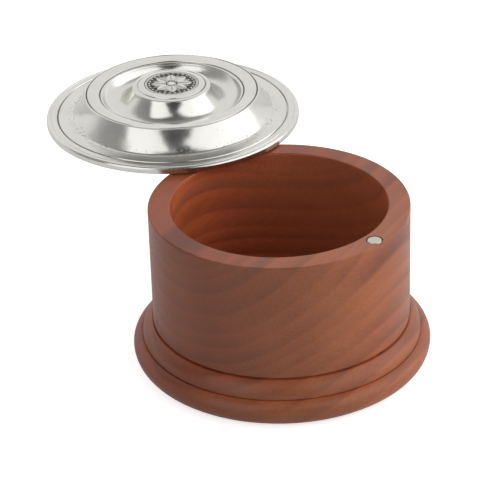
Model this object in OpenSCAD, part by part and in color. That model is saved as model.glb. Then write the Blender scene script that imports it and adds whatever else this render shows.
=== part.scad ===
// Salt box: a turned wooden box with a moulded foot, closed by a cast pewter lid that swivels
// on an upright pin in the wall and is caught by a magnet in the rim on the far side.
// The box stands on z = 0 with its axis on Z. The pin is at +Y and the magnet at -Y.
// The lid is drawn swung open, as it is when the salt is in use.

/* [Box] */
// Outer diameter of the box wall
box_d = 109; // [106:0.5:113]
// Height from the table to the rim
box_h = 70.5; // [60:0.5:90]
// Diameter of the bore that holds the salt
bore_d = 90.6; // [84:0.2:91]
// Thickness of the floor under the bore
floor_t = 12; // [8:0.5:18]
// Radius between the floor and the wall of the bore
bore_fillet = 8; // [3:0.5:15]
// Rounding of both edges of the rim
rim_round = 0.5; // [0.2:0.05:0.5]

/* [Foot] */
// Largest diameter of the foot
foot_d = 126.6; // [125:0.2:136]
// Height of the widest line of the band round the bottom, and its radius below that line
band_z = 6.8; // [6:0.1:7.4]
// Radius of the band above its widest line
band_round = 4.7; // [4.6:0.1:5.6]
// Diameter of the step between the band and the quarter-round above it
step_d = 118.4; // [116:0.2:118.6]
// Height of the step
step_z = 11.4; // [10.8:0.1:11.5]
// Radius of the quarter-round moulding
ovolo_round = 8; // [6:0.1:9]
// Width of the flat floor of the quirk, the groove between the quarter-round and the wall
quirk_w = 0.5; // [0.3:0.1:1]
// How far the quirk is cut in under the wall
quirk_depth = 0.9; // [0.4:0.1:1.4]
// Height of the quirk
quirk_h = 1.1; // [0.6:0.1:2]
// Depth of the fine line cut at the step
step_line = 0.45; // [0.2:0.05:0.8]

/* [Lid edge] */
// How far the lid stands out past the box wall all round
lid_overhang = 1.7; // [0.5:0.1:3]
// Running gap between the rim and the lid
lid_gap = 0.6; // [0.4:0.1:1.2]
// Thickness of the flat flange
flange_t = 3; // [2.6:0.1:4]
// Width of the flange from the edge to the foot of the cove
flange_w = 11.2; // [10.8:0.1:12.4]
// Rounding of the upper edge
edge_round = 1.2; // [0.5:0.1:1.6]
// Rounding of the lower edge
under_round = 0.4; // [0.2:0.1:0.8]
// Distance from the edge to the wide groove
groove_in = 5; // [4.5:0.1:6]
// Width of that groove
groove_w = 1; // [0.6:0.1:1.4]
// Depth of that groove
groove_d = 0.4; // [0.2:0.05:0.5]
// Distance from the edge to the hair line beside it
hairline_in = 2; // [1.8:0.1:2.6]

/* [Lid section] */
// Thickness of the cast wall
shell_t = 2.2; // [1.8:0.1:2.4]
// Width of the cove between the flange and the raised ring
cove_w = 6; // [5:0.1:6.6]
// Radius of the shallow curve of the cove
cove_bow = 26; // [16:1:40]
// Radius of the fillet at the foot of the cove
cove_foot = 2; // [0.5:0.1:3]
// Distance from the foot of the cove in to the edge of the hollow under the lid
hollow_in = 0.8; // [0.4:0.1:1.6]
// Height of the top of the raised ring over the underside
ring_z = 12.8; // [12.6:0.1:13.6]
// Distance from the outer edge of the raised ring to its highest line
ring_crest = 2.5; // [2:0.1:3.5]
// Radius of the crown of the raised ring
ring_crown = 16; // [14:0.5:24]
// Width of the raised ring
ring_w = 8.1; // [7:0.1:9]
// Rounding of the outer edge of the raised ring
ring_round = 0.6; // [0.3:0.1:0.9]
// Rounding of the inner edge of the raised ring
lip_round = 1; // [0.5:0.1:1.4]
// Distance from each edge of the raised ring to the line cut beside it
ring_line_in = 1.1; // [1:0.05:1.5]
// Diameter of the middle boss
boss_d = 34.8; // [33:0.2:37]
// Height of the centre of the boss crown over the underside
boss_z = 17.2; // [16.8:0.1:17.8]
// Radius of the crown of the boss
boss_crown = 80; // [60:1:120]
// Rounding of the edge of the boss
boss_round = 0.8; // [0.4:0.1:1.2]
// Radius of the shallow bow of the side of the boss
boss_bow = 14; // [12:0.5:18]
// Height of the centre of the hollow between the ring and the boss
dish_z = 13; // [12.8:0.1:13.4]
// Radius of the hollow between the ring and the boss
dish_round = 5.8; // [5.4:0.1:6.2]
// Width of the engraved lines
line_w = 0.7; // [0.4:0.05:1]
// Depth of the engraved lines
line_d = 0.3; // [0.15:0.05:0.4]
// Diameter of the line engraved round the boss
boss_line_d = 30.2; // [28:0.2:31]

/* [Medallion] */
// Diameter of the medallion set in the boss
medal_d = 24; // [20:0.2:25]
// Height of the face of the medallion over the underside of the lid
medal_z = 16.5; // [16.3:0.1:16.8]
// Thickness of the medallion
medal_t = 1.4; // [1:0.1:1.6]
// Height of its raised border and middle knop
medal_relief = 0.4; // [0.2:0.05:0.6]
// Width of the raised border
medal_border = 1.1; // [0.8:0.1:1.6]
// Radius of the crown of the middle knop
knop_crown = 6; // [4:0.5:9]
// Gap round it in its seat
medal_gap = 0.12; // [0.05:0.01:0.2]

/* [Pivot] */
// Distance from the wall's outer face to the pin's axis
pin_in = 3.9; // [3.9:0.1:4.6]
// Diameter of the pivot pin
pin_d = 4; // [3:0.1:4.2]
// Length of the pin below the rim
pin_drop = 15; // [8:0.5:20]
// Depth of the pin's seat in the flange
pin_seat = 1.6; // [1:0.1:1.8]
// Bevel on the pin's lower end
pin_bevel = 0.6; // [0.3:0.1:1]
// Running clearance round the pin in its bush, on the radius
pin_clear = 0.05; // [0.02:0.01:0.1]
// Wall of the bush
bush_wall = 0.75; // [0.5:0.05:0.8]
// Room below the pin's end
bush_room = 1; // [0.5:0.1:3]
// Clearance of a glued or pressed piece in its seat, on the radius
seat_clear = 0.02; // [0.01:0.01:0.04]
// Width of the thrust washer outside the bush
washer_lap = 0.5; // [0.3:0.05:0.55]
// Clearance round the pin in the thrust washer, on the radius
washer_clear = 0.2; // [0.1:0.05:0.3]

/* [Catch] */
// Diameter of the magnet and of the steel disc in the lid
catch_d = 6; // [4:0.1:6]
// Glue gap round them, on the radius
catch_gap = 0.25; // [0.1:0.05:0.3]
// Depth of the magnet
magnet_t = 3; // [2:0.5:6]
// Thickness of the steel disc in the lid
keeper_t = 1.2; // [0.8:0.1:1.6]
// Bevel on the edges of both
catch_bevel = 0.2; // [0.1:0.05:0.3]

/* [Use] */
// How far the lid is swung open from closed, counter-clockwise from above
open_angle = 140.5; // [0:0.5:219]

/* [Hidden] */
$fn = 96;
// Sides of the large circle that crowns the boss, of which only a few are used
crown_fn = 720;
// Overlap where one rounding runs into the next, so that they cross instead of just touching
lap = 0.01;
// How far a cut or a trimming shape runs on past the face that it opens
past = 1;

box_r = box_d / 2;
bore_r = bore_d / 2;
foot_r = foot_d / 2;
step_r = step_d / 2;
pin_r = box_r - pin_in;
bush_r = pin_d / 2 + pin_clear + bush_wall;
bush_l = pin_drop + bush_room;
catch_seat_r = catch_d / 2 + catch_gap;

// The quarter-round is struck from the level of the step and ends at the quirk's floor
ovolo_c = [step_r - ovolo_round, step_z];

// Lid section, heights measured from the underside of the lid
lid_r = box_r + lid_overhang;
lid_z = box_h + lid_gap;
cove_r0 = lid_r - flange_w;
ring_r1 = cove_r0 - cove_w;
ring_r0 = ring_r1 - ring_w;
ring_c = [ring_r1 - ring_crest, ring_z - ring_crown];
boss_r = boss_d / 2;
boss_c = [0, boss_z - boss_crown];
dish_c = [ring_r0 - dish_round, dish_z];
medal_r = medal_d / 2;
medal_seat_z = medal_z - medal_t;
hollow_r = cove_r0 - hollow_in;
top_z = boss_z + past;

// Where two circles meet, on the left of the way from the first centre to the second
function meet(c1, r1, c2, r2) =
    let (
        way = c2 - c1,
        dist = norm(way),
        along = (pow(r1, 2) - pow(r2, 2) + pow(dist, 2)) / (2 * dist),
        off = sqrt(pow(r1, 2) - pow(along, 2)),
        unit = way / dist
    )
    c1 + along * unit + off * [-unit[1], unit[0]];

// A point at a distance from a centre, towards or beyond another point
function towards(c, p, r) = c + r * (p - c) / norm(p - c);

// Height of a crown at a radius
function crown_z(c, round, r) = c[1] + sqrt(pow(round, 2) - pow(r - c[0], 2));

// Centre of the rounding where the raised ring's crown turns down to the cove
ring_edge_c = [
    ring_r1 - ring_round,
    ring_c[1] + sqrt(pow(ring_crown - ring_round, 2) - pow(ring_r1 - ring_round - ring_c[0], 2))
];
// The cove leaves the ring's rounding smoothly and would meet the flange at cove_r0
cove_c = meet(ring_edge_c, cove_bow + ring_round, [cove_r0, flange_t], cove_bow);
cove_top = towards(ring_edge_c, cove_c, ring_round);
// Centre of its fillet, and the place where the fillet starts
cove_foot_c = [
    cove_c[0] - sqrt(pow(cove_bow - cove_foot, 2) - pow(cove_c[1] - flange_t - cove_foot, 2)),
    flange_t + cove_foot
];
cove_foot_top = towards(cove_c, cove_foot_c, cove_bow);
// Centres of the roundings where the dish turns up to the ring and to the boss
lip_c = meet(dish_c, dish_round + lip_round - lap, ring_c, ring_crown - lip_round + lap);
boss_edge_x = boss_r - boss_round;
boss_edge_c = [boss_edge_x, crown_z(boss_c, boss_crown - boss_round + lap, boss_edge_x)];
// Centre of the bow of the boss, which runs into the dish
bow_c = meet(boss_edge_c, boss_bow + boss_round - lap, dish_c, boss_bow - dish_round);

// Half of a section from the axis out to a radius, between two heights
module slab(r, z0, z1) {
    translate([0, z0])
        square([r, z1 - z0]);
}

// The bow of a round groove cut across a surface, on the groove's own line
module line_cut(r, z, w, d) {
    round = (pow(w, 2) / 4 + pow(d, 2)) / (2 * d);
    translate([r, z + round - d])
        circle(r = round);
}

// Section of the bore, open above the rim
module bore_section() {
    slab(bore_r, floor_t + bore_fillet, box_h + past);
    slab(bore_r - bore_fillet, floor_t, box_h);
    translate([bore_r - bore_fillet, floor_t + bore_fillet])
        circle(r = bore_fillet);
    // The rounded inner edge of the rim
    difference() {
        slab(bore_r + rim_round, box_h - rim_round, box_h + past);
        translate([bore_r + rim_round, box_h - rim_round])
            circle(r = rim_round);
    }
}

// Section of the plain wall with its rounded outer edge
module wall_section() {
    slab(box_r, step_z, box_h - rim_round);
    slab(box_r - rim_round, box_h / 2, box_h);
    translate([box_r - rim_round, box_h - rim_round])
        circle(r = rim_round);
}

// Section of the foot: the band, round below and above its widest line, and the quarter-round
module foot_section() {
    intersection() {
        translate([foot_r - band_z - lap, band_z])
            circle(r = band_z + lap);
        slab(foot_r + past, 0, band_z);
    }
    slab(foot_r - band_z, 0, band_z);
    intersection() {
        translate([foot_r - band_round, band_z])
            circle(r = band_round);
        slab(foot_r + past, band_z, step_z);
    }
    slab(foot_r - band_round, band_z, step_z);
    intersection() {
        translate(ovolo_c)
            circle(r = ovolo_round);
        slab(step_r, step_z, step_z + ovolo_round);
    }
}

// The two grooves of the foot
module foot_grooves() {
    quirk_z = crown_z(ovolo_c, ovolo_round, box_r + quirk_w);
    polygon([
        [box_r + 2 * quirk_depth, quirk_z],
        [box_r - quirk_depth, quirk_z],
        [box_r + quirk_depth, quirk_z + 2 * quirk_h],
        [box_r + 2 * quirk_depth, quirk_z + 2 * quirk_h]
    ]);
    polygon([
        [step_r + step_line, step_z + 2 * step_line],
        [step_r - step_line, step_z],
        [step_r + step_line, step_z]
    ]);
}

module box_body() {
    color("#8f4e38")
        difference() {
            rotate_extrude()
                difference() {
                    union() {
                        wall_section();
                        foot_section();
                    }
                    foot_grooves();
                    bore_section();
                }
            translate([0, pin_r, box_h - bush_l])
                cylinder(r = bush_r + seat_clear, h = bush_l + past);
            translate([0, -pin_r, box_h - magnet_t])
                cylinder(r = catch_seat_r, h = magnet_t + past);
        }
}

// A disc with both edges bevelled
module bevelled_disc(r, t, bevel) {
    rotate_extrude()
        polygon([
            [0, 0],
            [r - bevel, 0],
            [r, bevel],
            [r, t - bevel],
            [r - bevel, t],
            [0, t]
        ]);
}

module rim_magnet() {
    color("#c9cbc9")
        translate([0, -pin_r, box_h - magnet_t])
            bevelled_disc(catch_d / 2, magnet_t, catch_bevel);
}

module pivot_bush() {
    color("#b59a55")
        translate([0, pin_r, box_h - bush_l])
            difference() {
                cylinder(r = bush_r, h = bush_l);
                translate([0, 0, -past])
                    cylinder(r = pin_d / 2 + pin_clear, h = bush_l + 2 * past);
            }
}

module thrust_washer() {
    color("#c2a864")
        translate([0, pin_r, box_h])
            difference() {
                cylinder(r = bush_r + washer_lap, h = lid_gap);
                translate([0, 0, -past])
                    cylinder(r = pin_d / 2 + washer_clear, h = lid_gap + 2 * past);
            }
}

// Puts a piece of the lid, drawn closed with its underside on z = 0, where the open lid is
module on_lid() {
    translate([0, pin_r, lid_z])
        rotate([0, 0, open_angle])
            translate([0, -pin_r, 0])
                children();
}

// Section of the flange with its rounded edges
module flange_section() {
    slab(lid_r, under_round, flange_t - edge_round);
    slab(lid_r - edge_round, under_round, flange_t);
    slab(lid_r - under_round, 0, flange_t - edge_round);
    translate([lid_r - edge_round, flange_t - edge_round])
        circle(r = edge_round);
    translate([lid_r - under_round, under_round])
        circle(r = under_round);
}

// Section of the cove and of the raised ring that it rises to
module ring_section() {
    crest_out = towards(ring_c, ring_edge_c, ring_crown);
    difference() {
        translate([ring_c[0], 0])
            square([cove_foot_c[0] - ring_c[0], cove_top[1]]);
        intersection() {
            translate(cove_c)
                circle(r = cove_bow);
            slab(cove_c[0], cove_foot_top[1], top_z);
        }
        translate(cove_foot_c)
            circle(r = cove_foot + lap);
    }
    intersection() {
        translate(ring_c)
            circle(r = ring_crown);
        slab(crest_out[0], 0, ring_z);
    }
    translate(ring_edge_c)
        circle(r = ring_round + lap);
}

// Section of the boss crown
module boss_section() {
    intersection() {
        translate(boss_c)
            circle(r = boss_crown, $fn = crown_fn);
        slab(dish_c[0], 0, boss_z);
    }
}

// Disc whose rim is the bowed side of the boss, down to where it runs into the dish
module bow_disc(r) {
    intersection() {
        translate(bow_c)
            circle(r = r);
        translate([0, towards(bow_c, dish_c, r)[1]])
            square([dish_c[0], top_z]);
    }
}

// What the dish takes out between the ring and the boss
module dish_section() {
    lip_low = towards(dish_c, lip_c, dish_round);
    lip_top = towards(ring_c, lip_c, ring_crown);
    edge_low = towards(bow_c, boss_edge_c, boss_bow);
    edge_top = towards(boss_c, boss_edge_c, boss_crown);
    translate(dish_c)
        circle(r = dish_round + lap);
    bow_disc(boss_bow);
    translate([dish_c[0], lip_low[1]])
        square([lip_top[0] - dish_c[0], top_z]);
    translate([edge_top[0], edge_low[1]])
        square([dish_c[0] + lap - edge_top[0], top_z]);
}

// Hollow under the lid, so that the casting has one thickness
module hollow_section() {
    difference() {
        union() {
            intersection() {
                translate(ring_c)
                    circle(r = ring_crown - shell_t);
                slab(hollow_r, -past, ring_z);
            }
            slab(dish_c[0], -past, medal_seat_z - shell_t);
            slab(dish_c[0] + dish_round / 2, -past, dish_c[1] - dish_round);
        }
        translate(cove_c)
            circle(r = cove_bow + shell_t);
        translate(dish_c)
            circle(r = dish_round + shell_t);
        bow_disc(boss_bow + shell_t);
    }
}

// The engraved lines and the seat of the medallion
module lid_lines() {
    line_cut(lid_r - groove_in, flange_t, groove_w, groove_d);
    line_cut(lid_r - hairline_in, flange_t, line_w / 2, line_d / 2);
    for (r = [ring_r1 - ring_line_in, ring_r0 + ring_line_in])
        line_cut(r, crown_z(ring_c, ring_crown, r), line_w, line_d);
    line_cut(boss_line_d / 2, crown_z(boss_c, boss_crown, boss_line_d / 2), line_w, line_d);
    slab(medal_r + medal_gap, medal_seat_z, top_z);
}

module lid() {
    color("#c4c4c1")
        on_lid()
            difference() {
                rotate_extrude()
                    difference() {
                        union() {
                            flange_section();
                            difference() {
                                union() {
                                    ring_section();
                                    boss_section();
                                }
                                dish_section();
                            }
                            translate(lip_c)
                                circle(r = lip_round);
                            translate(boss_edge_c)
                                circle(r = boss_round);
                        }
                        hollow_section();
                        lid_lines();
                    }
                translate([0, pin_r, -past])
                    cylinder(r = pin_d / 2 + seat_clear, h = past + pin_seat);
                translate([0, -pin_r, -past])
                    cylinder(r = catch_seat_r, h = past + keeper_t);
            }
}

module lid_medallion() {
    color("#9c9c98")
        on_lid()
            translate([0, 0, medal_seat_z])
                rotate_extrude()
                    difference() {
                        union() {
                            slab(medal_r, 0, medal_t - medal_relief);
                            translate([medal_r - medal_border, 0])
                                square([medal_border, medal_t]);
                            intersection() {
                                translate([0, medal_t - knop_crown])
                                    circle(r = knop_crown);
                                slab(knop_crown, 0, medal_t);
                            }
                        }
                        translate([-medal_r, 0])
                            square([medal_r, medal_t]);
                    }
}

module pivot_pin() {
    color("#b8bab8")
        translate([0, pin_r, box_h - pin_drop])
            rotate_extrude()
                polygon([
                    [0, 0],
                    [pin_d / 2 - pin_bevel, 0],
                    [pin_d / 2, pin_bevel],
                    [pin_d / 2, pin_drop + lid_gap + pin_seat],
                    [0, pin_drop + lid_gap + pin_seat]
                ]);
}

module lid_keeper() {
    color("#a9aba9")
        on_lid()
            translate([0, -pin_r, 0])
                bevelled_disc(catch_d / 2, keeper_t, catch_bevel);
}

box_body();
rim_magnet();
pivot_bush();
thrust_washer();
lid();
lid_medallion();
pivot_pin();
lid_keeper();
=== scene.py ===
"""Looks of a turned wooden salt box with a cast pewter lid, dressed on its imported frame.

Everything is in metres in the row's frame: the box stands on z = 0 with its axis on Z, and the
lid is swung open about the upright pin at +Y. Sizes in the fields below are in millimetres, and
those of the studio in metres.
"""

import logging
import math
from collections.abc import Callable
from dataclasses import dataclass, field
from enum import Enum
from functools import cached_property
from typing import Any

import bmesh
import bpy
from mathutils import Matrix, Vector

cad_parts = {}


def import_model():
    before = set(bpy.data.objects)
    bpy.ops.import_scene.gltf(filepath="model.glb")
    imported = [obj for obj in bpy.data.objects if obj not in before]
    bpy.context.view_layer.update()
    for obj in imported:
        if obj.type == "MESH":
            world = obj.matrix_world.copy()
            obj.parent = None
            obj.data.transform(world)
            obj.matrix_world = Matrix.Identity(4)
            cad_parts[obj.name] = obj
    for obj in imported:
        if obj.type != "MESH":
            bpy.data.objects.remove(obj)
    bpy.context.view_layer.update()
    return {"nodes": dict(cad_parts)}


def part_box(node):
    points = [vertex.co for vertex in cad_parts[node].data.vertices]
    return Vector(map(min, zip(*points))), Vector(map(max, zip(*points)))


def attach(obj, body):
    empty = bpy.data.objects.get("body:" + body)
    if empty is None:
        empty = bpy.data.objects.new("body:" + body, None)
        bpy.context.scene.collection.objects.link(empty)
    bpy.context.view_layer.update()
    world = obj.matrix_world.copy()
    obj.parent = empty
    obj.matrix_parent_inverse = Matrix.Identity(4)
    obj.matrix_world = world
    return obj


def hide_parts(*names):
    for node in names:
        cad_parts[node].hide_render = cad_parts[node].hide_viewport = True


LOG = logging.getLogger("salt_box")
MM = 0.001

Tree = bpy.types.NodeTree
Socket = bpy.types.NodeSocket

# Socket numbers of the colour pair and the result of a Mix node set to RGBA
MIX_A, MIX_B, MIX_OUT = 6, 7, 2
# Range that a noise pattern mostly keeps to
NOISE_LOW, NOISE_HIGH = 0.3, 0.7


def srgb(code: str) -> tuple[float, float, float, float]:
    """Turns an sRGB hex colour into the linear colour that the nodes take.

    Args:
        code: Colour as "#rrggbb".

    Returns:
        Linear red, green, blue and an alpha of 1.
    """
    channels = [int(code[i : i + 2], 16) / 255 for i in (1, 3, 5)]
    linear = [c / 12.92 if c <= 0.04045 else ((c + 0.055) / 1.055) ** 2.4 for c in channels]
    return (*linear, 1.0)


def add_node(
    tree: Tree,
    kind: str,
    inputs: dict[int | str, Any] | None = None,
    stops: list[tuple[float, str | float]] | None = None,
    **settings: Any,
) -> bpy.types.Node:
    """Adds one node with its settings, values and links.

    Args:
        tree: Node tree that takes the node.
        kind: Blender's type name of the node.
        inputs: Value, or socket to link from, for each input by name or number.
        stops: Place of each stop of a colour ramp, and its hex colour or its grey.
        **settings: Properties of the node itself.

    Returns:
        The new node.
    """
    node = tree.nodes.new(kind)
    for name, value in settings.items():
        setattr(node, name, value)
    for key, value in (inputs or {}).items():
        if isinstance(value, Socket):
            tree.links.new(value, node.inputs[key])
        else:
            node.inputs[key].default_value = value
    if stops:
        ramp = node.color_ramp
        while len(ramp.elements) < len(stops):
            ramp.elements.new(1.0)
        for element, (place, tone) in zip(ramp.elements, stops):
            element.position = place
            element.color = srgb(tone) if isinstance(tone, str) else (tone, tone, tone, 1.0)
    return node


def new_material(name: str) -> tuple[bpy.types.Material, Tree]:
    """Makes an empty material.

    Args:
        name: Name of the material.

    Returns:
        The material and its node tree.
    """
    material = bpy.data.materials.new(name)
    material.use_nodes = True
    material.node_tree.nodes.clear()
    return material, material.node_tree


def around_axis(tree: Tree, centre: Vector) -> tuple[Socket, Socket]:
    """Gives the place from a centre, and how far it is from the upright axis through that centre.

    Args:
        tree: Node tree of the material.
        centre: The centre in the row's frame, in metres.

    Returns:
        The sockets of the place and of the distance.
    """
    place = add_node(tree, "ShaderNodeTexCoord").outputs["Object"]
    local = add_node(
        tree, "ShaderNodeMapping", {"Vector": place, "Location": centre}, vector_type="TEXTURE"
    ).outputs[0]
    flat = add_node(
        tree, "ShaderNodeVectorMath", {0: local, 1: (1, 1, 0)}, operation="MULTIPLY"
    ).outputs[0]
    distance = add_node(tree, "ShaderNodeVectorMath", {0: flat}, operation="LENGTH").outputs["Value"]
    return local, distance


@dataclass(frozen=True)
class OiledCherry:
    """Cherry turned from one flat-sawn block and rubbed with oil: satin, red-brown, dark at the end grain."""

    # Place of the magnet in the rim, in metres
    magnet_at: Vector
    # Direction across the grain in the row's frame, and the heart of the tree seen along the grain
    across_deg: float = 281.1
    heart_across: float = -18.7
    heart_up: float = 105.5
    # Radius of each year's dark line and how dark it is
    years: tuple[tuple[float, float], ...] = (
        (35.3, 0.8),
        (41.5, 0.5),
        (46.0, 0.6),
        (52.5, 0.65),
        (62.5, 0.7),
        (71.0, 0.6),
        (77.0, 0.8),
        (84.5, 0.9),
        (89.5, 0.6),
        (94.7, 0.8),
        (102.0, 0.6),
        (109.0, 0.7),
        (116.5, 0.6),
        (124.0, 0.7),
        (131.0, 0.6),
    )
    # Width over which a line ends outside, and the power that draws it together
    line_end: float = 1.3
    line_power: float = 1.2
    # How far the lines wander, over what length, and at what pace along the grain
    wander: float = 2.2
    wander_length: float = 38.0
    wander_pace: float = 0.35
    # Size of the warm clouds, their pace along the grain, the noise between which they rise
    # and how strong they get
    cloud: float = 23.8
    cloud_pace: float = 0.3
    cloud_span: tuple[float, float] = (0.42, 0.7)
    cloud_share: float = 0.75
    # The year that turned grey, half the width of its stain and how strong it is
    grey_year: float = 51.0
    grey_width: float = 3.5
    grey_share: float = 0.35
    # How squarely the grain has to face out for the end tone to begin, and how strong that gets
    end_from: float = 0.25
    end_share: float = 0.7
    # Length, width and depth of the fibres, coarser than real ones so that they show, and the
    # tones between which they change
    fibre_long: float = 12.0
    fibre_wide: float = 0.5
    fibre_deep: float = 0.05
    fibre_tones: tuple[float, float] = (0.9, 1.09)
    early: str = "#994f33"
    late: str = "#693221"
    flush: str = "#a65a3a"
    grey: str = "#5f4a40"
    end_tone: str = "#6d412e"
    # The oil's shine
    roughness: tuple[float, float] = (0.3, 0.44)
    ior: float = 1.47
    specular: float = 0.45
    # Distances across the grain between which the wood turns paler toward the right soft box, and the tints
    # at the two ends: painted light, paler on the lit side and darker on the far side, whose tint also sets
    # the wood's own tone
    lit_from: float = 15.0
    lit_to: float = 70.0
    shade_side_tint: tuple[float, float, float] = (0.94, 0.79, 0.58)
    lit_side_tint: tuple[float, float, float] = (1.26, 1.46, 1.36)
    # The bore is painted paler and more orange up to its edge: painted light, for the light that falls and
    # bounces inside it
    bore_light_edge: tuple[float, float] = (45.3, 45.6)
    bore_light_tint: tuple[float, float, float] = (1.6, 1.55, 1.4)
    # Radii round the magnet between which the dark glue line ends
    glue_edge: tuple[float, float] = (3.35, 3.6)
    glue: str = "#33261f"
    # A grey mineral fleck in the rim: its place, its half lengths and its direction
    fleck_at: tuple[float, float, float] = (-49.2, 6.5, 70.5)
    fleck_size: tuple[float, float, float] = (7.5, 1.7, 3.0)
    fleck_deg: float = -76.0
    # Size of the tears in its edge and how deep they go, the share of its half lengths over which
    # the edge fades, and how strong the fleck is
    fleck_tear: float = 2.5
    fleck_ragged: float = 0.9
    fleck_edge: tuple[float, float] = (0.7, 1.5)
    fleck_share: float = 0.7

    def grain_place(self, tree: Tree) -> Socket:
        """Gives the place in the block: X across the grain, Y along it, Z up from the heart.

        Args:
            tree: Node tree of the material.

        Returns:
            The socket of the place, in metres.
        """
        across = math.radians(self.across_deg)
        heart = Vector((math.cos(across), math.sin(across), 0)) * self.heart_across * MM
        heart.z = self.heart_up * MM
        place = add_node(tree, "ShaderNodeTexCoord").outputs["Object"]
        return add_node(
            tree,
            "ShaderNodeMapping",
            {"Vector": place, "Location": heart, "Rotation": (0, 0, across)},
            vector_type="TEXTURE",
        ).outputs[0]

    def drawn_out(self, tree: Tree, grain: Socket, pace: float) -> Socket:
        """Slows a pattern down along the grain, and at a pace of 0 keeps it from changing there."""
        return add_node(
            tree, "ShaderNodeVectorMath", {0: grain, 1: (1, pace, 1)}, operation="MULTIPLY"
        ).outputs[0]

    def ring_radius(self, tree: Tree, grain: Socket) -> Socket:
        """Gives the distance from the heart of the tree, which wanders as the years do.

        Args:
            tree: Node tree of the material.
            grain: Place in the block.

        Returns:
            The socket of the distance, in metres.
        """
        flat = self.drawn_out(tree, grain, 0.0)
        radius = add_node(tree, "ShaderNodeVectorMath", {0: flat}, operation="LENGTH").outputs["Value"]
        slow = self.drawn_out(tree, grain, self.wander_pace)
        drift = add_node(
            tree,
            "ShaderNodeTexNoise",
            {"Vector": slow, "Scale": 1 / (self.wander_length * MM), "Detail": 2},
        ).outputs[0]
        centred = add_node(tree, "ShaderNodeMath", {0: drift, 1: 0.5}, operation="SUBTRACT").outputs[0]
        return add_node(
            tree,
            "ShaderNodeMath",
            {0: centred, 1: 2 * self.wander * MM, 2: radius},
            operation="MULTIPLY_ADD",
        ).outputs[0]

    def lateness(self, tree: Tree, radius: Socket) -> Socket:
        """Gives how near a place is to the dark end of its year.

        Args:
            tree: Node tree of the material.
            radius: Distance from the heart of the tree.

        Returns:
            The socket of the share, from 0 to 1.
        """
        inner = self.years[0][0] - self.line_end
        outer = self.years[-1][0] + self.line_end
        stops: list[tuple[float, str | float]] = []
        for line, depth in self.years:
            stops.append(((line - inner) / (outer - inner), depth))
            stops.append(((line + self.line_end - inner) / (outer - inner), 0.0))
        scaled = add_node(
            tree, "ShaderNodeMapRange", {"Value": radius, 1: inner * MM, 2: outer * MM}
        ).outputs[0]
        ramp = add_node(tree, "ShaderNodeValToRGB", {"Fac": scaled}, stops=stops).outputs["Color"]
        return add_node(
            tree, "ShaderNodeMath", {0: ramp, 1: self.line_power}, operation="POWER"
        ).outputs[0]

    def warmth(self, tree: Tree, grain: Socket) -> Socket:
        """Gives how much of a warm flush shows, in long clouds.

        Args:
            tree: Node tree of the material.
            grain: Place in the block.

        Returns:
            The socket of the share.
        """
        slow = self.drawn_out(tree, grain, self.cloud_pace)
        cloud = add_node(
            tree,
            "ShaderNodeTexNoise",
            {"Vector": slow, "Scale": 1 / (self.cloud * MM), "Detail": 2, "W": 3.0},
            noise_dimensions="4D",
        ).outputs[0]
        low, high = self.cloud_span
        return add_node(
            tree, "ShaderNodeMapRange", {"Value": cloud, 1: low, 2: high, 3: 0.0, 4: self.cloud_share}
        ).outputs[0]

    def stain(self, tree: Tree, radius: Socket) -> Socket:
        """Gives how much of the grey stain of one year shows.

        Args:
            tree: Node tree of the material.
            radius: Distance from the heart of the tree.

        Returns:
            The socket of the share.
        """
        off = add_node(
            tree, "ShaderNodeMath", {0: radius, 1: self.grey_year * MM}, operation="SUBTRACT"
        ).outputs[0]
        beside = add_node(tree, "ShaderNodeMath", {0: off}, operation="ABSOLUTE").outputs[0]
        return add_node(
            tree,
            "ShaderNodeMapRange",
            {"Value": beside, 1: 0.0, 2: self.grey_width * MM, 3: self.grey_share, 4: 0.0},
            interpolation_type="SMOOTHSTEP",
        ).outputs[0]

    def fleck(self, tree: Tree) -> Socket:
        """Gives how much of the mineral fleck shows.

        Args:
            tree: Node tree of the material.

        Returns:
            The socket of the share.
        """
        place = add_node(tree, "ShaderNodeTexCoord").outputs["Object"]
        local = add_node(
            tree,
            "ShaderNodeMapping",
            {
                "Vector": place,
                "Location": Vector(self.fleck_at) * MM,
                "Rotation": (0, 0, math.radians(self.fleck_deg)),
                "Scale": Vector(self.fleck_size) * MM,
            },
            vector_type="TEXTURE",
        ).outputs[0]
        out = add_node(tree, "ShaderNodeVectorMath", {0: local}, operation="LENGTH").outputs["Value"]
        tears = add_node(
            tree,
            "ShaderNodeTexNoise",
            {"Vector": place, "Scale": 1 / (self.fleck_tear * MM), "Detail": 2},
        ).outputs[0]
        torn = add_node(
            tree, "ShaderNodeMath", {0: tears, 1: self.fleck_ragged, 2: out}, operation="MULTIPLY_ADD"
        ).outputs[0]
        near, far = self.fleck_edge
        return add_node(
            tree,
            "ShaderNodeMapRange",
            {"Value": torn, 1: near, 2: far, 3: self.fleck_share, 4: 0.0},
            interpolation_type="SMOOTHSTEP",
        ).outputs[0]

    def end_grain(self, tree: Tree) -> Socket:
        """Gives how much of the end tone shows, since end grain drinks more oil and turns darker.

        Args:
            tree: Node tree of the material.

        Returns:
            The socket of the share.
        """
        across = math.radians(self.across_deg)
        along = Vector((-math.sin(across), math.cos(across), 0))
        normal = add_node(tree, "ShaderNodeTexCoord").outputs["Normal"]
        facing = add_node(
            tree, "ShaderNodeVectorMath", {0: normal, 1: along}, operation="DOT_PRODUCT"
        ).outputs["Value"]
        ends = add_node(tree, "ShaderNodeMath", {0: facing}, operation="ABSOLUTE").outputs[0]
        return add_node(
            tree,
            "ShaderNodeMapRange",
            {"Value": ends, 1: self.end_from, 2: 1.0, 3: 0.0, 4: self.end_share},
        ).outputs[0]

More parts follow.
